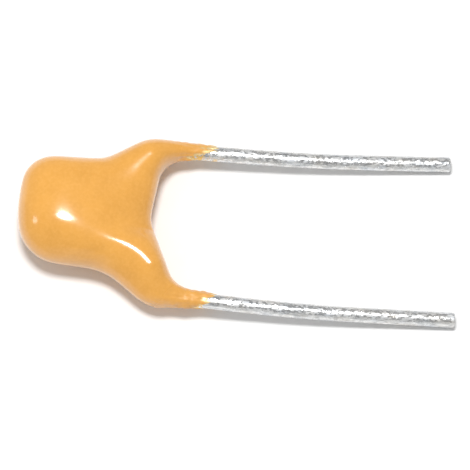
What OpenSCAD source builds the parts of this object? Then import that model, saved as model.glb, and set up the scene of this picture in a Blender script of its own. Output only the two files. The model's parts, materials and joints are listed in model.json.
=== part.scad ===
// Multilayer ceramic capacitor with two radial leads, dipped in epoxy resin.
// The pieces are worked out flat: X runs from the nose to the lead tips, Y from lead to lead
// and Z through the thickness, with the chip's middle at X = 0 and the leads' midline at Y = 0.
// The whole part is then tipped until it lies on its belly and its lead tips.
// Side a is the +Y side and side b the -Y side. A pair of values is [side a, side b].

/* [Ceramic chip] */
// Length of the chip, from one end face to the other
chip_len = 1.9; // [1.6:0.05:2.4]
// Width of the chip, along the leads
chip_w = 1.25; // [0.9:0.05:1.6]
// Thickness of the chip
chip_t = 1.25; // [0.8:0.05:1.5]
// Radius of the chip's long edges
chip_edge_r = 0.08; // [0.04:0.01:0.14]
// How far the chip sits from the leads' midline, towards lead a
chip_shift = 0.25; // [0:0.01:0.35]

/* [Electrode plates] */
// Plates that reach each end of the chip
plates_per_end = 6; // [4:1:8]
// Thickness of a plate
plate_t = 0.02; // [0.01:0.002:0.03]
// Ceramic left above and below the stack of plates
cover_t = 0.15; // [0.08:0.01:0.25]
// Ceramic left beside the plates
side_margin = 0.15; // [0.08:0.01:0.25]
// Ceramic left between a plate's inner end and the far end face
end_margin = 0.3; // [0.15:0.01:0.45]

/* [End terminations] */
// Thickness of the metal on the chip's ends
term_t = 0.04; // [0.02:0.005:0.08]
// How far the metal wraps along the chip from each end face
term_band = 0.4; // [0.25:0.01:0.55]

/* [Solder] */
// Radius of the solder's hollow face
solder_r = 0.35; // [0.25:0.01:0.5]
// Angle at which the solder meets the termination
solder_angle = 25; // [15:1:40]
// How far the solder stops short of the termination's edges
solder_inset = 0.06; // [0.02:0.01:0.15]
// Film of solder between the wire and the termination
solder_film = 0.03; // [0.01:0.005:0.06]

/* [Leads] */
// Diameter of the lead wire
lead_d = 0.5; // [0.4:0.01:0.6]
// Distance between the leads at the middle of their free length
lead_pitch = 5.08; // [4.8:0.02:5.6]
// Outward lean of each lead
lead_splay = 1.03; // [0:0.01:2]
// How far both leads turn towards side a along their free length
lead_bow = 3.4; // [0.4:0.1:5]
// Radius of that gentle turn
bow_r = 60; // [20:5:100]
// Where that turn lies, from the chip's middle
bow_x = 8.0; // [7:0.1:9]
// How far the lead tips lie from the chip's middle
tip_x = [12.58, 12.91]; // [11:0.01:16]
// Where each lead leaves its line along the chip
kink_in_x = 1.5; // [1.3:0.05:1.8]
// Angle at which each lead spreads from there to its free line
kink_angle = 38; // [32:1:45]
// Bend radius of the wire's centre line at both kinks
kink_r = 0.6; // [0.4:0.05:0.8]
// How far the buried end of the wire stops short of the chip's edge
lead_inset = 0.1; // [0.02:0.01:0.2]
// Chamfer on the cut end of the wire
tip_chamfer = 0.05; // [0.02:0.01:0.1]

/* [Epoxy coating] */
// Epoxy over the flat faces of the chip
coat_top = 0.375; // [0.3:0.005:0.7]
// Epoxy beside the leads where they run along the chip
coat_side = 0.27; // [0.1:0.01:0.4]
// Epoxy past the chip at the nose
coat_nose = 0.88; // [0.5:0.005:1.1]
// How much thinner each arm is than the head, on either face
arm_drop = [0.22, 0.16]; // [0.05:0.01:0.3]
// Epoxy between the chip and the notch between the leads
coat_web = 2.13; // [1.9:0.05:2.5]
// How far the bottom of the notch lies from the chip's middle, towards lead b
notch_shift = 0.14; // [0:0.01:0.3]
// Epoxy on the outside of the leads at the shoulders
coat_shoulder = [0.08, 0.1]; // [0.08:0.01:0.25]
// Epoxy on a lead where a sleeve ends
sleeve_wall = 0.045; // [0.03:0.005:0.08]
// How far the nose bulges past the line of its corners
nose_crown = 0.16; // [0.05:0.01:0.3]
// How much side b widens and narrows along the head, from an uneven dip
dip_skew = 0.1; // [0:0.01:0.2]
// How far the coat starts to flare before the lead's first kink
waist_back = [0.32, 0.1]; // [0:0.01:0.5]
// How far the flare ends before the lead's second kink
shoulder_back = [0.24, 0.46]; // [0:0.01:0.6]
// How far the crotch between web and sleeve lies past the second kink
crotch_past = [0.35, 0.48]; // [0.2:0.01:0.6]
// How far a sleeve's outer side runs past the second kink
sleeve_outer = [2.16, 1.12]; // [1:0.01:2.4]
// How far a sleeve's inner side runs past the second kink
sleeve_inner = [1.15, 1.6]; // [1:0.01:2]

/* [Coating curves] */
// Radius at the nose's corners
nose_r = [1, 1.4]; // [0.6:0.05:1.5]
// Radius of the nose's crown
crown_r = 3; // [1:0.1:5]
// Radius where the head flares out
waist_r = [0.9, 2]; // [0.5:0.1:2.5]
// Radius at the shoulders
shoulder_r = [1.2, 0.9]; // [0.5:0.1:1.5]
// Radius in the crotch between web and sleeve
crotch_r = [0.85, 0.65]; // [0.3:0.05:1]
// Radius at the bottom of the notch
notch_r = 1.1; // [0.5:0.1:2]

/* [Coating sections] */
// How square the coat's section is at the head, where 2 is an ellipse
head_squareness = 2.2; // [2:0.1:4]
// Share of its thickness that the head gains at its outer side and loses at the notch
head_skew = 0.25; // [0:0.01:0.35]
// Share of its thickness that each arm gains by the notch and loses at its outer side
arm_skew = [0, 0.32]; // [0:0.01:0.4]
// Where the head is thickest, as a share of the way round the coat
head_at = 0.54; // [0.45:0.01:0.62]
// Share of the way round over which the head thins to each arm
head_span = [0.3, 0.17]; // [0.1:0.01:0.36]
// Share of the way round that each sleeve keeps its thin wall
sleeve_share = 0.03; // [0.01:0.01:0.08]
// Share of the way round over which a sleeve swells to its arm
swell_share = 0.15; // [0.08:0.01:0.2]
// How fast the inner side is followed by the notch, where 1 is an even pace
notch_pace = 0.1; // [0.05:0.05:1]
// How fast the inner side is followed by each sleeve's end
sleeve_pace = [0.4, 2.4]; // [0.1:0.1:2.8]

/* [Hidden] */
SIDES = ["a", "b"];

function electrode_name(side, i) = str("electrode_", side, i);

// Fineness of round pieces, of the coat's sections and of each section's rim
$fn = 48;
COAT_SECTIONS = 72;
SECTION_POINTS = 28;
ARC_STEP = 5;

// Reach of each side, +1 for a and -1 for b
DIRECTION = [1, -1];

lead_r = lead_d / 2;
// Half sizes of the chip with its terminations on
cap_half_len = chip_len / 2 + term_t;
cap_half_w = chip_w / 2 + term_t;
cap_half_t = chip_t / 2 + term_t;

// The stack of plates, the first at the bottom, ends taken in turn
plate_count = 2 * plates_per_end;
plate_pitch = (chip_t - 2 * cover_t - plate_t) / (plate_count - 1);
plate_w = chip_w - 2 * side_margin;
plate_len = chip_len - end_margin;

// Where the buried length of each lead runs, and its corners out to the tip
lead_in_y = [for (d = DIRECTION) chip_shift + d * (cap_half_len + solder_film + lead_r)];
lead_start_x = lead_inset - chip_w / 2;
function run_in_angle(i) = DIRECTION[i] * lead_splay - lead_bow / 2;
function run_out_angle(i) = DIRECTION[i] * lead_splay + lead_bow / 2;
free_middle_x = (tip_x[0] + cap_half_w + coat_web) / 2;
bow_drop = (tip_x[0] - free_middle_x) / 2 * tan(lead_bow / 2);
bow_spread = (bow_x - free_middle_x) * tan(lead_splay);
function bow_corner(i) = [bow_x, DIRECTION[i] * (lead_pitch / 2 + bow_spread) - bow_drop];
// Y of a lead's centre line between its second kink and its bow
function lead_y(i, x) = bow_corner(i).y + (x - bow_x) * tan(run_in_angle(i));
// X of a lead's second kink, where its spread meets its free line
function kink_out_x(i) =
    let (rise = tan(run_in_angle(i)), spread = DIRECTION[i] * tan(kink_angle))
    (lead_y(i, 0) - lead_in_y[i] + spread * kink_in_x) / (spread - rise);
function tip_point(i) = [
    tip_x[i],
    bow_corner(i).y + (tip_x[i] - bow_x) * tan(run_out_angle(i))
];
function lead_corners(i) = [
    [lead_start_x, lead_in_y[i], 0],
    [kink_in_x, lead_in_y[i], kink_r],
    [kink_out_x(i), lead_y(i, kink_out_x(i)), kink_r],
    [each bow_corner(i), bow_r],
    [each tip_point(i), 0]
];

// Corners are [x, y, fillet radius]
function xy(c) = [c.x, c.y];
function heading(from, to) = atan2(to.y - from.y, to.x - from.x);
function wrap(angle) = angle - 360 * round(angle / 360);
function turn_at(c, i) =
    i == 0 || i == len(c) - 1 ? 0 : wrap(heading(c[i], c[i + 1]) - heading(c[i - 1], c[i]));
// Length of straight that the fillet at a corner takes up on each side of it
function cut_back(c, i) = c[i].z * tan(abs(turn_at(c, i)) / 2);
function side_length(c, i) = norm(xy(c[i + 1]) - xy(c[i]));

// Outline of the coat's outer side, from sleeve a round the nose to sleeve b
head_half = cap_half_len + solder_film + lead_d + coat_side;
nose_x = -(cap_half_w + coat_nose);
function sleeve_end(i, past, side) =
    let (x = kink_out_x(i) + past[i])
    [x, lead_y(i, x) + DIRECTION[i] * side * (lead_r + sleeve_wall), 0];
function shoulder(i) = [
    kink_out_x(i) - shoulder_back[i],
    lead_y(i, kink_out_x(i)) + DIRECTION[i] * (lead_r + coat_shoulder[i]),
    shoulder_r[i]
];
function waist(i) = [
    kink_in_x - waist_back[i],
    chip_shift + DIRECTION[i] * head_half - i * dip_skew,
    waist_r[i]
];
function nose_corner(i) = [
    nose_x + nose_crown,
    chip_shift + DIRECTION[i] * head_half + i * dip_skew,
    nose_r[i]
];
outer_corners = [
    sleeve_end(0, sleeve_outer, 1), shoulder(0), waist(0), nose_corner(0),
    [nose_x, chip_shift, crown_r],
    nose_corner(1), waist(1), shoulder(1), sleeve_end(1, sleeve_outer, 1)
];

// Outline of the coat's inner side, along sleeve a, the notched web and sleeve b
function crotch(i) = [
    kink_out_x(i) + crotch_past[i],
    lead_y(i, kink_out_x(i)) - DIRECTION[i] * (lead_r + sleeve_wall),
    crotch_r[i]
];
inner_corners = [
    sleeve_end(0, sleeve_inner, -1), crotch(0),
    [cap_half_w + coat_web, chip_shift - notch_shift, notch_r],
    crotch(1), sleeve_end(1, sleeve_inner, -1)
];

// The points of a path through corners, with each corner rounded to its radius
function corner_points(c, i) =
    let (
        turn = turn_at(c, i),
        into = heading(c[i - 1], c[i]),
        first = xy(c[i]) - cut_back(c, i) * [cos(into), sin(into)],
        centre = first + sign(turn) * c[i].z * [-sin(into), cos(into)],
        steps = max(1, ceil(abs(turn) / ARC_STEP))
    )
    [for (k = [0:steps])
        let (a = into + turn * k / steps - sign(turn) * 90)
        centre + c[i].z * [cos(a), sin(a)]];
function rounded_path(c) = concat(
    [xy(c[0])],
    [for (i = [1:len(c) - 2]) each corner_points(c, i)],
    [xy(c[len(c) - 1])]
);

// A path as a table of [length so far, x, y], and the point a share of the way along it
function running_length(path) =
    [for (i = 0, s = 0; i < len(path); s = s + (i + 1 < len(path) ? norm(path[i + 1] - path[i]) : 0),
        i = i + 1) s];
function measured(path) =
    let (lengths = running_length(path))
    [for (i = [0:len(path) - 1]) [lengths[i], path[i].x, path[i].y]];
function point_along(table, share) =
    let (s = share * table[len(table) - 1][0])
    [
        lookup(s, [for (row = table) [row[0], row[1]]]),
        lookup(s, [for (row = table) [row[0], row[2]]])
    ];

// How far a sleeve has swelled to its arm, and how much of the head there is, from 0 to 1
function smooth(t) = let (k = min(1, max(0, t))) k * k * (3 - 2 * k);
function fullness(share) = smooth((min(share, 1 - share) - sleeve_share) / swell_share);
function arm_of(share) = share < head_at ? 0 : 1;
function headness(share) = (1 + cos(180 * min(1, abs(share - head_at) / head_span[arm_of(share)]))) / 2;

// Half thickness of the coat, its squareness and its skew, a share of the way round
sleeve_half = lead_r + sleeve_wall;
body_half = cap_half_t + coat_top;
function half_thickness(share) =
    let (arm_half = body_half - arm_drop[arm_of(share)])
    sleeve_half + (arm_half - sleeve_half) * fullness(share) + (body_half - arm_half) * headness(share);
function squareness(share) = 2 + (head_squareness - 2) * fullness(share);
function skew(share) =
    let (on_arm = -arm_skew[arm_of(share)])
    on_arm * fullness(share) + (head_skew - on_arm) * headness(share);

// The share of the inner side that goes with a share of the outer side. It is slow by the notch,
// so that the sections fan out from there and lie square to the arms.
function inner_share(share) =
    let (
        t = abs(2 * share - 1),
        end_pace = sleeve_pace[share < 0.5 ? 0 : 1],
        gone = notch_pace * t * pow(1 - t, 2) + t * t * (3 - 2 * t) - end_pace * t * t * (1 - t)
    )
    0.5 + sign(share - 0.5) * gone / 2;

// One upright section of the coat, from its outer point to its inner point
function signed_power(v, p) = sign(v) * pow(abs(v), p);
function coat_section(outer, inner, share) =
    let (
        middle = (outer + inner) / 2,
        reach = (outer - inner) / 2,
        p = 2 / squareness(share)
    )
    [for (k = [0:SECTION_POINTS - 1])
        let (
            a = 360 * (k + 0.5) / SECTION_POINTS,
            along = signed_power(cos(a), p),
            at = middle + along * reach,
            z = half_thickness(share) * signed_power(sin(a), p) * (1 + skew(share) * along)
        )
        [at.x, at.y, z]];
outer_table = measured(rounded_path(outer_corners));
inner_table = measured(rounded_path(inner_corners));
coat_sections = [for (i = [0:COAT_SECTIONS])
    let (share = i / COAT_SECTIONS)
    coat_section(point_along(outer_table, share), point_along(inner_table, inner_share(share)), share)];
coat_points = [for (s = coat_sections) each s];

// The tilt at which the belly and the tips of the leads reach equally low
function lowest(points, tilt) = min([for (p = points) p.z * cos(tilt) - p.x * sin(tilt)]);
tip_rims = [for (x = tip_x) [x - tip_chamfer, 0, -lead_r]];
function level_tilt(low, high, tries) =
    let (mid = (low + high) / 2)
    tries == 0 ? mid
    : lowest(coat_points, mid) < lowest(tip_rims, mid) ? level_tilt(mid, high, tries - 1)
    : level_tilt(low, mid, tries - 1);
rest_tilt = level_tilt(0, 30, 24);

// The box of the tilted part, whose bottom centre becomes the origin
function tilted_x(p) = p.x * cos(rest_tilt) + p.z * sin(rest_tilt);
rest_min_x = min([for (p = coat_points) tilted_x(p)]);
rest_max_x = max([for (x = tip_x) tilted_x([x, 0, lead_r - tip_chamfer])]);
rest_ys = concat(
    [for (p = coat_points) p.y],
    [for (i = [0, 1], p = rounded_path(lead_corners(i))) p.y + DIRECTION[i] * lead_r]
);
rest_shift = [
    -(rest_min_x + rest_max_x) / 2,
    -(min(rest_ys) + max(rest_ys)) / 2,
    -lowest(concat(coat_points, tip_rims), rest_tilt)
];

// Moves in two steps, a rounded one and what is left, so that no digit of a long move is lost
module moved(v) {
    rounded = [for (k = v) round(k * 100) / 100];
    translate(rounded) translate(v - rounded) children();
}

module laid_down() {
    translate(rest_shift) rotate([0, rest_tilt, 0]) children();
}

// A bar along Y with rounded long edges
module rounded_bar(w, t, len, r) {
    rotate([90, 0, 0]) linear_extrude(len, center = true) {
        square([w - 2 * r, t], center = true);
        square([w, t - 2 * r], center = true);
        for (x = [-1, 1], z = [-1, 1])
            translate([x * (w / 2 - r), z * (t / 2 - r)]) circle(r);
    }
}

module chip_block() {
    translate([0, chip_shift, 0]) rounded_bar(chip_w, chip_t, chip_len, chip_edge_r);
}

// One electrode plate, counted from the bottom of the stack
module plate(i, end) {
    z = (i - (plate_count - 1) / 2) * plate_pitch;
    translate([0, chip_shift + DIRECTION[end] * end_margin / 2, z])
        cube([plate_w, plate_len, plate_t], center = true);
}

// The metal on one end of the chip, before the chip is taken out of it
module cap_block(end) {
    cap_len = term_band + term_t;
    translate([0, chip_shift + DIRECTION[end] * (cap_half_len - cap_len / 2), 0])
        rounded_bar(2 * cap_half_w, 2 * cap_half_t, cap_len, chip_edge_r + term_t);
}

// Section of the solder between the termination at Y = 0 and the wire, in [away from chip, up]
module solder_section() {
    wet_overlap = 0.95;
    wire_y = solder_film + lead_r;
    centre_y = solder_r * cos(solder_angle);
    centre_z = sqrt(pow(wet_overlap * (solder_r + lead_r), 2) - pow(centre_y - wire_y, 2));
    foot = min(centre_z - solder_r * sin(solder_angle), cap_half_t - chip_edge_r - term_t);
    difference() {
        translate([0, -foot]) square([wire_y, 2 * foot]);
        for (z = [-1, 1]) translate([centre_y, z * centre_z]) circle(solder_r);
        translate([wire_y, 0]) circle(lead_r);
    }
}

module solder(end) {
    solder_len = 2 * (cap_half_w - chip_edge_r - term_t - solder_inset);
    translate([0, chip_shift + DIRECTION[end] * cap_half_len, 0])
        mirror([0, end, 0])
            rotate([90, 0, 90])
                linear_extrude(solder_len, center = true) solder_section();
}

// A round wire that starts along +X and follows the corners, each with its bend radius
module bent_wire(corners, i = 0) {
    straight = side_length(corners, i) - cut_back(corners, i) - cut_back(corners, i + 1);
    turn = turn_at(corners, i + 1);
    radius = corners[i + 1].z;
    last = i + 2 == len(corners);
    rotate([0, 90, 0]) {
        cylinder(r = lead_r, h = straight - (last ? tip_chamfer : 0));
        if (last)
            translate([0, 0, straight - tip_chamfer])
                cylinder(r1 = lead_r, r2 = lead_r - tip_chamfer, h = tip_chamfer);
    }
    if (!last)
        translate([straight, 0, 0]) {
            bend(radius, turn);
            moved(radius * [sin(abs(turn)), sign(turn) * (1 - cos(turn)), 0])
                rotate(turn) bent_wire(corners, i + 1);
        }
}

// A bend of the wire from the origin along +X, to the left where turn is positive
module bend(radius, turn) {
    translate([0, sign(turn) * radius, 0])
        rotate(-90 * sign(turn))
            rotate_extrude(angle = turn) translate([radius, 0]) circle(lead_r);
}

module lead(end) {
    translate(xy(lead_corners(end)[0])) bent_wire(lead_corners(end));
}

// The dipped body before the pieces inside are taken out of it
module coat_loft() {
    n = SECTION_POINTS;
    last = COAT_SECTIONS * n;
    sides = [for (i = [0:COAT_SECTIONS - 1], k = [0:n - 1])
        let (a = i * n + k, b = i * n + (k + 1) % n)
        each [[a, b, a + n], [b, b + n, a + n]]];
    first_end = [for (k = [1:n - 2]) [0, k + 1, k]];
    last_end = [for (k = [1:n - 2]) [last, last + k, last + k + 1]];
    polyhedron(points = coat_points, faces = concat(sides, first_end, last_end));
}

module epoxy_coating() {
    color([0.93, 0.6, 0.22]) laid_down() difference() {
        coat_loft();
        chip_block();
        for (end = [0, 1]) {
            cap_block(end);
            solder(end);
            lead(end);
        }
    }
}

module ceramic_body() {
    color([0.78, 0.7, 0.58]) laid_down() difference() {
        chip_block();
        for (i = [0:plate_count - 1]) plate(i, i % 2);
    }
}

module electrode(end, i) {
    color([0.62, 0.6, 0.56]) laid_down() plate(2 * (i - 1) + end, end);
}

module end_termination(end) {
    color([0.75, 0.75, 0.76]) laid_down() difference() {
        cap_block(end);
        chip_block();
    }
}

module solder_joint(end) {
    color([0.68, 0.69, 0.7]) laid_down() solder(end);
}

module lead_wire(end) {
    color([0.8, 0.8, 0.82]) laid_down() lead(end);
}

epoxy_coating();
ceramic_body();
for (end = [0, 1]) {
    for (i = [1:plates_per_end])
        electrode(end, i);
    end_termination(end);
    solder_joint(end);
    lead_wire(end);
}
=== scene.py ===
"""A dipped multilayer ceramic capacitor: its coat, tinned leads and finishes, on a white floor."""
import json
import math

import bpy
import numpy as np
from mathutils import Matrix, Vector, noise


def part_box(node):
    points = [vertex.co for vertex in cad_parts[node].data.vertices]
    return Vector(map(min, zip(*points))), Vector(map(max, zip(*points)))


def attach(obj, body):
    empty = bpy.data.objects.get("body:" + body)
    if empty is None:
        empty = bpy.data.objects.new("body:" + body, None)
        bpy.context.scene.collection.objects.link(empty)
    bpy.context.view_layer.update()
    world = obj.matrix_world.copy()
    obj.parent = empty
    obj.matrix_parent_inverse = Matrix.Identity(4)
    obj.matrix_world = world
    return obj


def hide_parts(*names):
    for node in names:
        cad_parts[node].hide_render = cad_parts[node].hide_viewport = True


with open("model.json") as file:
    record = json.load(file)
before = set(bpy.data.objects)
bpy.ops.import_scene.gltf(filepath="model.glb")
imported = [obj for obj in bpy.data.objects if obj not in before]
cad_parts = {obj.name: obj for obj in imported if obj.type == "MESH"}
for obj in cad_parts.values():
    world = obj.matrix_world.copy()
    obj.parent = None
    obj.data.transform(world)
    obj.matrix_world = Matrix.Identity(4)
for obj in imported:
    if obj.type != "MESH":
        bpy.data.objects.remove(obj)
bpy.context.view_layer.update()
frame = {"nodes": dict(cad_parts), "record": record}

# The flat frame is in millimetres: its origin is the chip's middle, X runs from the nose to the
# lead tips, Y from lead b to lead a and Z up through the thickness. The part lies tipped in the
# world, on its belly and its lead tips.
MM = 0.001
PIN = next(mount for mount in frame["record"]["mounts"] if mount["name"] == "lead_pin_a")
PIN_AXIS = PIN["axis"]
LEAD_R = PIN["dims"]["r_mm"]
TILT = math.atan2(-PIN_AXIS[2], PIN_AXIS[0])
CHIP_MIDDLE = sum(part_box("ceramic_body"), Vector()) / 2
TO_WORLD = Matrix.Translation(CHIP_MIDDLE) @ Matrix.Rotation(TILT, 4, "Y") @ Matrix.Scale(MM, 4)
SIDES = ("a", "b")
DIRECTION = {"a": 1, "b": -1}

# Corners are (x, y, fillet radius), along each lead from its buried end to its tip
LEAD_CORNERS = {
    "a": [
        (-0.525, 1.27, 0), (1.5, 1.27, 0.6), (2.798, 2.284, 0.6),
        (8, 2.223, 60), (12.58, 2.441, 0),
    ],
    "b": [
        (-0.525, -1.27, 0), (1.5, -1.27, 0.6), (3.256, -2.642, 0.6),
        (8, -2.868, 60), (12.91, -2.811, 0),
    ],
}
# The coat's outer side from sleeve a round the nose to sleeve b, and its inner side past the notch
COAT_OUTER = [
    (4.96, 2.55, 0), (2.56, 2.61, 1.2), (1.18, 1.79, 0.9), (-1.385, 1.79, 1), (-1.545, 0, 3),
    (-1.385, -1.69, 1.4), (1.4, -1.89, 2), (2.8, -2.99, 0.9), (4.38, -2.99, 0),
]
COAT_INNER = [
    (3.95, 1.975, 0), (3.15, 1.99, 0.85), (2.795, -0.14, 1.1),
    (3.74, -2.35, 0.65), (4.86, -2.42, 0),
]
# Half thicknesses of a sleeve, an arm and the head
SLEEVE_HALF = 0.295
ARM_HALF = {"a": 0.82, "b": 0.88}
HEAD_HALF = 1.04
# How square a section is, where 2 is an ellipse, and the share by which its outer side is thicker
ROUND = 2
HEAD_SQUARENESS = 2.2
HEAD_SKEW = 0.25
ARM_SKEW = {"a": 0, "b": -0.32}
# Shares of the way round the coat at which it swells and thins
HEAD_AT = 0.54
HEAD_SPAN = {"a": 0.3, "b": 0.17}
SLEEVE_SHARE = 0.03
SWELL_SHARE = 0.15
# How fast the inner side is followed at the notch and at each sleeve's end, where 1 is an even pace
NOTCH_PACE = 0.1
SLEEVE_PACE = {"a": 0.4, "b": 2.4}

# Fineness of the meshes. Softness is counted in sections, and its reach in softnesses.
COAT_SECTIONS = 440
COAT_RIM = 96
OUTER_SOFTNESS = 6
INNER_SOFTNESS = 8
SOFTENING_REACH = 4
LEAD_STATIONS = 520
LEAD_RIM = 48
ARC_STEP = math.radians(1.5)

# How the resin ends on the wires: shares of the coat's length, and sizes in millimetres
RAGGED_SHARE = 0.13
FILM_SHARE = {"a": 0.045, "b": 0.028}
FILM_SINK = 0.012
FILM_RUN = {"a": 0.1, "b": 0.25}
TONGUE = 0.3
LUMP = 0.045
LUMP_SIZE = 0.16
CLEAR_FILM = {"a": 0.06, "b": 0.03}
STAIN_END = {"a": 5.35, "b": 5.25}
STAIN_FADE = 0.9
STAIN_WANDER = 0.5
# Broad and narrow tongues: the ring in the noise that they are read round, their strength and seed
TONGUE_WAVES = ((1.6, 1, 0), (4, 0.6, 5))
SLEEVE_SEED = {"a": 0, "b": 10}

# The wire's uneven tin, and its cut end
TIN_WAVE = 0.008
TIN_WAVE_LENGTH = 0.45
TIN_SEED = {"a": 20, "b": 30}
CUT_EDGE_R = 0.05
CUT_EDGE_RINGS = 6


def smooth(t):
    """An even step from 0 to 1 as t does the same."""
    k = np.clip(t, 0, 1)
    return k * k * (3 - 2 * k)


def signed_power(v, p):
    """The size of v to the power p, with the sign of v."""
    return np.sign(v) * np.abs(v) ** p


def rounded_path(corners):
    """The points of a path through corners, each rounded to its fillet radius."""
    points = [corners[0][:2]]
    for before, corner, after in zip(corners, corners[1:], corners[2:]):
        into = math.atan2(corner[1] - before[1], corner[0] - before[0])
        out = math.atan2(after[1] - corner[1], after[0] - corner[0])
        turn = math.remainder(out - into, 2 * math.pi)
        radius = corner[2]
        left = math.copysign(1, turn)
        back = radius * math.tan(abs(turn) / 2)
        centre_x = corner[0] - back * math.cos(into) - left * radius * math.sin(into)
        centre_y = corner[1] - back * math.sin(into) + left * radius * math.cos(into)
        steps = max(1, math.ceil(abs(turn) / ARC_STEP))
        for k in range(steps + 1):
            a = into + turn * k / steps - left * math.pi / 2
            points.append((centre_x + radius * math.cos(a), centre_y + radius * math.sin(a)))
    points.append(corners[-1][:2])
    return np.array(points)


def lengths_along(path):
    """The distance along a path to each of its points."""
    return np.concatenate([[0], np.cumsum(np.linalg.norm(np.diff(path, axis=0), axis=1))])


def taken_at(places, known, pairs):
    """Pairs of numbers at new places, read between the pairs at known places."""
    return np.stack([np.interp(places, known, pairs[:, k]) for k in (0, 1)], axis=1)


def evenly(path, count):
    """A path's points, taken again at even steps along its length."""
    lengths = lengths_along(path)
    return taken_at(np.linspace(0, lengths[-1], count), lengths, path)


def softened(path, sigma):
    """A path whose bends ease into its straights, with its ends kept."""
    reach = SOFTENING_REACH * sigma
    kernel = np.exp(-0.5 * (np.arange(-reach, reach + 1) / sigma) ** 2)
    kernel /= kernel.sum()
    start = 2 * path[0] - path[reach:0:-1]
    end = 2 * path[-1] - path[-2:-reach - 2:-1]
    padded = np.concatenate([start, path, end])
    return np.stack([np.convolve(padded[:, k], kernel, "valid") for k in (0, 1)], axis=1)


LEAD_PATH = {side: evenly(rounded_path(LEAD_CORNERS[side]), LEAD_STATIONS) for side in SIDES}


def lead_y(side, x):
    """How far aside a lead's middle lies at x."""
    return np.interp(x, LEAD_PATH[side][:, 0], LEAD_PATH[side][:, 1])


def noise_at(*values):
    """Smooth noise, about -1 to 1, at the points that three arrays of coordinates give."""
    columns = np.stack(np.broadcast_arrays(*values), axis=-1)
    flat = [noise.noise(Vector(p)) for p in columns.reshape(-1, 3)]
    return np.array(flat).reshape(columns.shape[:-1])


def put_in_scene(name, data):
    """A new object of that name, made from that data."""
    made = bpy.data.objects.new(name, data)
    bpy.context.scene.collection.objects.link(made)
    return made


def piece(name, rings, material, node, marks):
    """A closed skin over rings of flat-frame points, which stands for a CAD node."""
    count, rim, _ = rings.shape
    points = [TO_WORLD @ Vector(p) for p in rings.reshape(-1, 3)]
    quads = [
        (i * rim + k, i * rim + (k + 1) % rim, (i + 1) * rim + (k + 1) % rim, (i + 1) * rim + k)
        for i in range(count - 1) for k in range(rim)
    ]
    first_end = tuple(reversed(range(rim)))
    last_end = tuple(range((count - 1) * rim, count * rim))
    mesh = bpy.data.meshes.new(name)
    mesh.from_pydata(points, [], [*quads, first_end, last_end])
    for mark, values in marks.items():
        attribute = mesh.attributes.new(mark, "FLOAT", "POINT")
        attribute.data.foreach_set("value", values.astype(np.float32).ravel())
    mesh.shade_smooth()
    mesh.materials.append(material)
    made = put_in_scene(name, mesh)
    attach(made, "root")
    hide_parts(node)


def inner_share(share):
    """The share of the coat's inner side that goes with a share of its outer side."""
    t = np.abs(2 * share - 1)
    end_pace = np.where(share < 0.5, SLEEVE_PACE["a"], SLEEVE_PACE["b"])
    gone = NOTCH_PACE * t * (1 - t) ** 2 + t * t * (3 - 2 * t) - end_pace * t * t * (1 - t)
    return 0.5 + np.sign(share - 0.5) * gone / 2


def coat_rings():
    """Upright sections of the coat, from its outer to its inner side, round the bend of its U."""
    share = np.linspace(0, 1, COAT_SECTIONS)
    outer = softened(evenly(rounded_path(COAT_OUTER), COAT_SECTIONS), OUTER_SOFTNESS)
    inner = softened(evenly(rounded_path(COAT_INNER), COAT_SECTIONS), INNER_SOFTNESS)
    inner = taken_at(inner_share(share), share, inner)
    by_a = share < HEAD_AT
    arm_half = np.where(by_a, ARM_HALF["a"], ARM_HALF["b"])
    head_span = np.where(by_a, HEAD_SPAN["a"], HEAD_SPAN["b"])
    fullness = smooth((np.minimum(share, 1 - share) - SLEEVE_SHARE) / SWELL_SHARE)
    headness = 0.5 + 0.5 * np.cos(math.pi * np.clip((share - HEAD_AT) / head_span, -1, 1))
    half = SLEEVE_HALF + (arm_half - SLEEVE_HALF) * fullness + (HEAD_HALF - arm_half) * headness
    arm_skew = np.where(by_a, ARM_SKEW["a"], ARM_SKEW["b"])
    skew = arm_skew * fullness + (HEAD_SKEW - arm_skew) * headness
    power = 2 / (ROUND + (HEAD_SQUARENESS - ROUND) * fullness[:, None])
    angle = 2 * math.pi * (np.arange(COAT_RIM) + 0.5) / COAT_RIM
    across = signed_power(np.cos(angle), power)
    up = signed_power(np.sin(angle), power)
    middle = ((outer + inner) / 2)[:, None, :]
    reach = ((outer - inner) / 2)[:, None, :]
    height = half[:, None] * up * (1 + skew[:, None] * across)
    return np.concatenate([middle + across[..., None] * reach, height[..., None]], axis=2)


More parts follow.
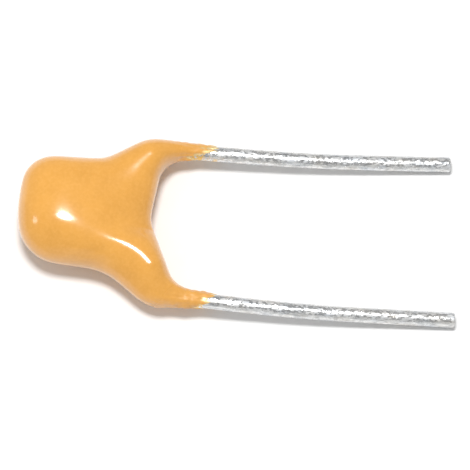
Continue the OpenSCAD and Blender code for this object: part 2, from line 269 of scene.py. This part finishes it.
def ragged_sleeve(rings, side):
    """Thins one sleeve to a film on its wire, with a lumpy skin and an end broken into tongues.

    Gives back how clear each point of the coat is, from 0 where it is thick to 1 where it runs out,
    and how lumpy, from 0 on the arms to 1 at the sleeve's end.
    """
    from_end = np.linspace(0, 1, COAT_SECTIONS)
    if side == "b":
        from_end = from_end[::-1]
    near = from_end < RAGGED_SHARE
    part = rings[near]
    share = from_end[near][:, None]
    x, y, z = part[..., 0], part[..., 1], part[..., 2]
    outward = (y - lead_y(side, x)) * DIRECTION[side]
    radius = np.hypot(outward, z)
    angle = np.arctan2(z, outward)
    fade = 1 - smooth(share / RAGGED_SHARE)
    seed = SLEEVE_SEED[side]
    round_x, round_y = np.cos(angle), np.sin(angle)
    tongue = sum(
        strength * noise_at(ring * round_x, ring * round_y, seed + offset)
        for ring, strength, offset in TONGUE_WAVES
    )
    x = x + fade * (FILM_RUN[side] + TONGUE * tongue)
    lump = noise_at(
        x / LUMP_SIZE, LEAD_R * round_x / LUMP_SIZE, LEAD_R * round_y / LUMP_SIZE + seed
    )
    film = np.sqrt(np.clip(share / FILM_SHARE[side], 0, 1))
    core = LEAD_R - FILM_SINK
    radius = core + (radius - core) * film + LUMP * fade * film * lump
    rings[near] = np.stack([
        x,
        lead_y(side, x) + DIRECTION[side] * radius * round_x,
        radius * round_y,
    ], axis=-1)
    clear = np.zeros(rings.shape[:2])
    clear[near] = 1 - smooth((radius - LEAD_R) / CLEAR_FILM[side])
    lumpy = np.zeros(rings.shape[:2])
    lumpy[near] = fade
    return clear, lumpy


def make_coat(material):
    """The dipped coat, with both of its sleeves made ragged."""
    rings = coat_rings()
    clear, lumpy = sum(np.array(ragged_sleeve(rings, side)) for side in SIDES)
    marks = {"clear": clear, "lumpy": lumpy}
    piece("resin_coat", rings, material, "epoxy_coating", marks)


def make_lead(side, material):
    """A wire with uneven tin, and a cut end with a rounded edge."""
    path = LEAD_PATH[side]
    along = np.gradient(path, axis=0)
    along /= np.linalg.norm(along, axis=1)[:, None]
    lengths = lengths_along(path)
    edge = np.linspace(0, math.pi / 2, CUT_EDGE_RINGS)
    edge_stations = lengths[-1] - CUT_EDGE_R * (1 - np.sin(edge))
    stations = np.concatenate([lengths[lengths < edge_stations[0]], edge_stations])
    centre = taken_at(stations, lengths, path)
    heading = taken_at(stations, lengths, along)
    angle = 2 * math.pi * np.arange(LEAD_RIM) / LEAD_RIM
    wave = noise_at(
        stations[:, None] / TIN_WAVE_LENGTH, np.cos(angle), np.sin(angle) + TIN_SEED[side]
    )
    radius = LEAD_R - TIN_WAVE * (0.5 + 0.5 * wave)
    edge_cut = CUT_EDGE_R * (1 - np.cos(edge))
    radius[-CUT_EDGE_RINGS:] -= edge_cut[:, None]
    sideways = radius * np.cos(angle)
    rings = np.stack([
        centre[:, :1] - heading[:, 1:] * sideways,
        centre[:, 1:] + heading[:, :1] * sideways,
        radius * np.sin(angle),
    ], axis=-1)
    cut = np.zeros(rings.shape[:2])
    cut[-1] = 1
    stain = smooth((STAIN_END[side] - centre[:, :1] + STAIN_WANDER * wave) / STAIN_FADE)
    marks = {"cut": cut, "stain": stain}
    piece(f"tinned_lead_{side}", rings, material, f"lead_wire_{side}", marks)


class Finish:
    """A material, and the shader nodes that it is made of."""

    def __init__(self, name, **sockets):
        self.material = bpy.data.materials.new(name)
        self.material.use_nodes = True
        self.nodes = self.material.node_tree.nodes
        self.shader = self.nodes["Principled BSDF"]
        self.position = self.add("ShaderNodeTexCoord").outputs["Object"]
        for socket, value in sockets.items():
            self.shader.inputs[socket.replace("_", " ")].default_value = value

    def add(self, kind, **inputs):
        """A node with its inputs linked or set. An underscore in a name stands for a space."""
        node = self.nodes.new(kind)
        for name, value in inputs.items():
            self.join(value, node.inputs[name.replace("_", " ")])
        return node

    def join(self, value, socket):
        """Links a node's output to a socket, or sets a plain value on it."""
        if isinstance(value, bpy.types.NodeSocket):
            self.material.node_tree.links.new(value, socket)
        else:
            socket.default_value = value

    def drive(self, socket, value):
        """Gives the shader's socket of that name its value."""
        self.join(value, self.shader.inputs[socket])

    def mark(self, name):
        """A value that the mesh holds at each point."""
        node = self.nodes.new("ShaderNodeAttribute")
        node.attribute_name = name
        return node.outputs["Fac"]

    def noise(self, size, detail=3, roughness=0.5, stretch=(1, 1, 1)):
        """Noise with grains about size millimetres wide, drawn out along the axes by stretch."""
        scale = tuple(1 / (size * MM * s) for s in stretch)
        mapping = self.add("ShaderNodeMapping", Vector=self.position, Scale=scale)
        grain = self.add(
            "ShaderNodeTexNoise",
            Vector=mapping.outputs[0],
            Scale=1,
            Detail=detail,
            Roughness=roughness,
        )
        return grain.outputs["Fac"]

    def ranged(self, value, low, high, from_low=0.3, from_high=0.7):
        """The value's range, by default the middle of a noise's, taken to low and high."""
        node = self.nodes.new("ShaderNodeMapRange")
        for k, number in enumerate((value, from_low, from_high, low, high)):
            self.join(number, node.inputs[k])
        return node.outputs[0]

    def number_between(self, share, first, second):
        """A number between two, by a share from 0 to 1."""
        return self.ranged(share, first, second, from_low=0, from_high=1)

    def colour_between(self, share, first, second):
        """A colour between two, by a share from 0 to 1."""
        node = self.nodes.new("ShaderNodeMix")
        node.data_type = "RGBA"
        for name, value in (("Factor_Float", share), ("A_Color", first), ("B_Color", second)):
            socket = next(s for s in node.inputs if s.identifier == name)
            self.join(value, socket)
        return next(s for s in node.outputs if s.identifier == "Result_Color")

    def bump(self, height, depth, strength=1, under=None):
        """A bumped normal, with depth in millimetres, over another if one is given."""
        node = self.add("ShaderNodeBump", Height=height, Strength=strength, Distance=depth * MM)
        if under is not None:
            self.join(under, node.inputs["Normal"])
        return node.outputs[0]


# Colours are red, green, blue and alpha, in linear light
RESIN_DEEP = (0.71, 0.33, 0.05, 1)
RESIN_PALE = (0.79, 0.376, 0.063, 1)
RESIN_SPECK = (0.9, 0.48, 0.12, 1)
FILM_AMBER = (0.7, 0.4, 0.09, 1)
FILM_ON_METAL = (0.92, 0.74, 0.4, 1)
TIN_COOL = (0.5, 0.54, 0.59, 1)
TIN_WARM = (0.61, 0.58, 0.53, 1)
TIN_BRIGHT = (0.93, 0.93, 0.92, 1)
TIN_PIT = (0.3, 0.31, 0.32, 1)
TIN_STAIN = (0.9, 0.63, 0.24, 1)
CUT_FACE = (0.6, 0.58, 0.56, 1)
CERAMIC_DARK = (0.55, 0.44, 0.32, 1)
CERAMIC_LIGHT = (0.66, 0.56, 0.43, 1)
SHEET_DARK = (0.9, 0.9, 0.9, 1)
SHEET_LIGHT = (0.92, 0.92, 0.92, 1)

# The metals inside the coat, by the first word of their nodes' names: the finish's name, its dark
# and light colour, the grain's size in millimetres, and the least and most roughness
INNER_METALS = {
    "electrode": ("plate_metal", (0.48, 0.46, 0.42, 1), (0.62, 0.6, 0.55, 1), 0.04, 0.4, 0.55),
    "end": ("cap_metal", (0.62, 0.62, 0.62, 1), (0.74, 0.74, 0.75, 1), 0.06, 0.35, 0.5),
    "solder": ("solder_metal", (0.55, 0.56, 0.57, 1), (0.7, 0.71, 0.72, 1), 0.12, 0.2, 0.4),
}


def resin():
    """Golden-orange dipped epoxy: glossy, faintly mottled, a clear amber film where it runs out."""
    finish = Finish("golden_resin", IOR=1.65, Sheen_Weight=0.45, Sheen_Roughness=0.46)
    mottle = finish.ranged(finish.noise(size=0.9, detail=4, roughness=0.6), 0, 1)
    body = finish.colour_between(mottle, RESIN_DEEP, RESIN_PALE)
    speck = finish.ranged(finish.noise(size=0.1, detail=2), 0, 0.25, from_low=0.4, from_high=0.75)
    body = finish.colour_between(speck, body, RESIN_SPECK)

    # The wire's metal shows through the film, in patches first
    clear = finish.mark("clear")
    patchy = finish.ranged(finish.noise(size=0.11), 0.1, 0.75)
    metal = finish.ranged(clear, 0, 1, from_low=patchy, from_high=0.9)
    amber = finish.colour_between(clear, body, FILM_AMBER)
    finish.drive("Base Color", finish.colour_between(metal, amber, FILM_ON_METAL))
    finish.drive("Metallic", metal)

    # The gloss wears off where the sleeves are lumpy
    lumpy = finish.mark("lumpy")
    gloss = finish.ranged(finish.noise(size=0.5), 0.15, 0.18)
    worn = finish.number_between(lumpy, gloss, 0.6)
    finish.drive("Roughness", finish.number_between(metal, worn, 0.5))

    swell = finish.bump(finish.noise(size=0.8, detail=1), depth=0.006)
    lumps = finish.bump(finish.noise(size=0.16), depth=0.03, strength=lumpy, under=swell)
    fine = finish.bump(finish.noise(size=0.12, detail=2), depth=0.0006, under=lumps)
    finish.drive("Normal", fine)
    return finish.material


def tin():
    """Drawn wire with a skin of tin: streaks, pits, dull patches and amber stains by the resin."""
    finish = Finish("streaky_tin", Metallic=1.0)
    streak = finish.noise(size=0.05, detail=4, roughness=0.6, stretch=(14, 1, 1))
    tint = finish.ranged(finish.noise(size=0.3, detail=2, stretch=(2, 1, 1)), 0, 1)
    grey = finish.colour_between(tint, TIN_COOL, TIN_WARM)
    shade = finish.colour_between(finish.ranged(streak, 0, 1), grey, TIN_BRIGHT)
    pitting = finish.noise(size=0.06, detail=2, stretch=(3, 1, 1))
    pit = finish.ranged(pitting, 0, 0.4, from_low=0.5, from_high=0.7)
    shade = finish.colour_between(pit, shade, TIN_PIT)

    # The stain breaks into spots as it runs out along the wire
    stain = finish.mark("stain")
    stain_from = finish.number_between(stain, 0.8, 0.42)
    stain_full = finish.number_between(stain, 0.9, 0.5)
    stained = finish.ranged(
        finish.noise(size=0.1), 0, 1, from_low=stain_from, from_high=stain_full
    )
    shade = finish.colour_between(stained, shade, TIN_STAIN)
    finish.drive("Base Color", finish.colour_between(finish.mark("cut"), shade, CUT_FACE))

    dull = finish.noise(size=0.09, stretch=(1.5, 1, 1))
    bare_roughness = finish.ranged(dull, 0.2, 0.62, from_low=0.47, from_high=0.57)
    finish.drive("Roughness", finish.number_between(stained, bare_roughness, 0.6))

    blotch = finish.noise(size=0.14, detail=4, roughness=0.65, stretch=(2.5, 1, 1))
    crackle = finish.noise(size=0.15, stretch=(1.5, 1, 1))
    crackled = finish.bump(crackle, depth=0.045, strength=finish.ranged(blotch, 0.2, 1))
    finish.drive("Normal", finish.bump(streak, depth=0.004, under=crackled))
    return finish.material


def fired_ceramic():
    """Buff fired ceramic with a fine grain."""
    finish = Finish("fired_ceramic")
    grain = finish.ranged(finish.noise(size=0.05), 0, 1)
    finish.drive("Base Color", finish.colour_between(grain, CERAMIC_DARK, CERAMIC_LIGHT))
    finish.drive("Roughness", finish.number_between(grain, 0.55, 0.75))
    finish.drive("Normal", finish.bump(grain, depth=0.002))
    return finish.material


def inner_metal(name, dark, light, grain_size, least_rough, most_rough):
    """A dull metal inside the coat, with a fine grain between two greys."""
    finish = Finish(name, Metallic=1.0)
    grain = finish.ranged(finish.noise(grain_size), 0, 1)
    finish.drive("Base Color", finish.colour_between(grain, dark, light))
    finish.drive("Roughness", finish.number_between(grain, least_rough, most_rough))
    return finish.material


def dress_inner_nodes():
    """Gives each CAD node inside the coat the finish of what it is made of."""
    finishes = {"ceramic": fired_ceramic()}
    for kind, values in INNER_METALS.items():
        finishes[kind] = inner_metal(*values)
    for name, node in frame["nodes"].items():
        kind = name.split("_")[0]
        if kind in finishes:
            node.data.materials.clear()
            node.data.materials.append(finishes[kind])


FLOOR_HALF = 0.4


def make_floor():
    """A white sheet, far wider than the view."""
    mesh = bpy.data.meshes.new("floor")
    corners = [(x * FLOOR_HALF, y * FLOOR_HALF, 0) for x, y in ((-1, -1), (1, -1), (1, 1), (-1, 1))]
    mesh.from_pydata(corners, [], [(0, 1, 2, 3)])
    finish = Finish("white_sheet", Roughness=0.9, Specular_IOR_Level=0.0)
    grain = finish.ranged(finish.noise(size=0.6), 0, 1)
    finish.drive("Base Color", finish.colour_between(grain, SHEET_DARK, SHEET_LIGHT))
    mesh.materials.append(finish.material)
    put_in_scene("floor", mesh)


# A big lamp hangs a little behind the part, and a small one on its nose's side makes the nose's
# glint. The room is an even grey but for a bright wall in front, which fades into it over a range
# of Y in the direction that the light comes from.
LAMP_DISTANCE = 0.1
LAMP_BEHIND = math.radians(8.5)
LAMP_ASIDE = math.radians(3)
LAMP_SIZE = (0.026, 0.02)
LAMP_WATTS = 0.076
SIDE_LAMP_AT = Vector((-0.08, -0.008, 0.06))
SIDE_LAMP_SIZE = (0.022, 0.022)
SIDE_LAMP_WATTS = 0.006
ROOM_LIGHT = 0.44
FRONT_LIGHT = 0.85
FRONT_RANGE = (-0.95, -0.85)
WHITE = (1, 1, 1, 1)


def make_lamp(name, size, watts, place):
    """An oval lamp that faces away from its own Z."""
    lamp = bpy.data.lights.new(name, "AREA")
    lamp.shape = "ELLIPSE"
    lamp.size, lamp.size_y = size
    lamp.energy = watts
    put_in_scene(name, lamp).matrix_world = place


def make_lamps():
    """The big lamp, turned about the part, and the side lamp, which faces it."""
    lean = Matrix.Rotation(-LAMP_BEHIND, 4, "X") @ Matrix.Rotation(-LAMP_ASIDE, 4, "Y")
    make_lamp("lamp", LAMP_SIZE, LAMP_WATTS, lean @ Matrix.Translation((0, 0, LAMP_DISTANCE)))
    facing = SIDE_LAMP_AT.to_track_quat("Z", "Y").to_matrix().to_4x4()
    side_place = Matrix.Translation(SIDE_LAMP_AT) @ facing
    make_lamp("side_lamp", SIDE_LAMP_SIZE, SIDE_LAMP_WATTS, side_place)


def make_room():
    """The light that comes from all round, brighter from the wall in front."""
    world = bpy.data.worlds.new("room")
    world.use_nodes = True
    nodes, links = world.node_tree.nodes, world.node_tree.links
    background = nodes["Background"]
    background.inputs["Color"].default_value = WHITE
    direction = nodes.new("ShaderNodeTexCoord")
    split = nodes.new("ShaderNodeSeparateXYZ")
    glow = nodes.new("ShaderNodeMapRange")
    for k, value in enumerate((*FRONT_RANGE, FRONT_LIGHT, ROOM_LIGHT)):
        glow.inputs[k + 1].default_value = value
    links.new(direction.outputs["Generated"], split.inputs[0])
    links.new(split.outputs["Y"], glow.inputs[0])
    links.new(glow.outputs[0], background.inputs["Strength"])
    bpy.context.scene.world = world


# Where the photograph was taken from, and the width that it takes in at the part
VIEW_AZIMUTH = math.radians(2.94)
VIEW_ELEVATION = math.radians(75.56)
VIEW_DISTANCE = 0.12
VIEW_MIDDLE = (-0.105 * MM, -0.283 * MM)
VIEW_TARGET = Vector((0, 0, 1 * MM))
VIEW_WIDTH = 15.343 * MM
VIEW_STARTS = 0.01


def make_camera():
    """The camera at the photograph's place, with plain colours in its picture."""
    camera = bpy.data.cameras.new("camera")
    camera.lens = camera.sensor_width * VIEW_DISTANCE / VIEW_WIDTH
    camera.clip_start = VIEW_STARTS
    upward = Matrix.Rotation(math.pi / 2 - VIEW_ELEVATION, 4, "X")
    turn = Matrix.Rotation(VIEW_AZIMUTH, 4, "Z") @ upward
    back = Matrix.Translation((*VIEW_MIDDLE, VIEW_DISTANCE))
    holder = put_in_scene("camera", camera)
    holder.matrix_world = Matrix.Translation(VIEW_TARGET) @ turn @ back
    bpy.context.scene.camera = holder
    bpy.context.scene.view_settings.view_transform = "Standard"


make_coat(resin())
wire_finish = tin()
for side in SIDES:
    make_lead(side, wire_finish)
dress_inner_nodes()
make_floor()
make_lamps()
make_room()
make_camera()
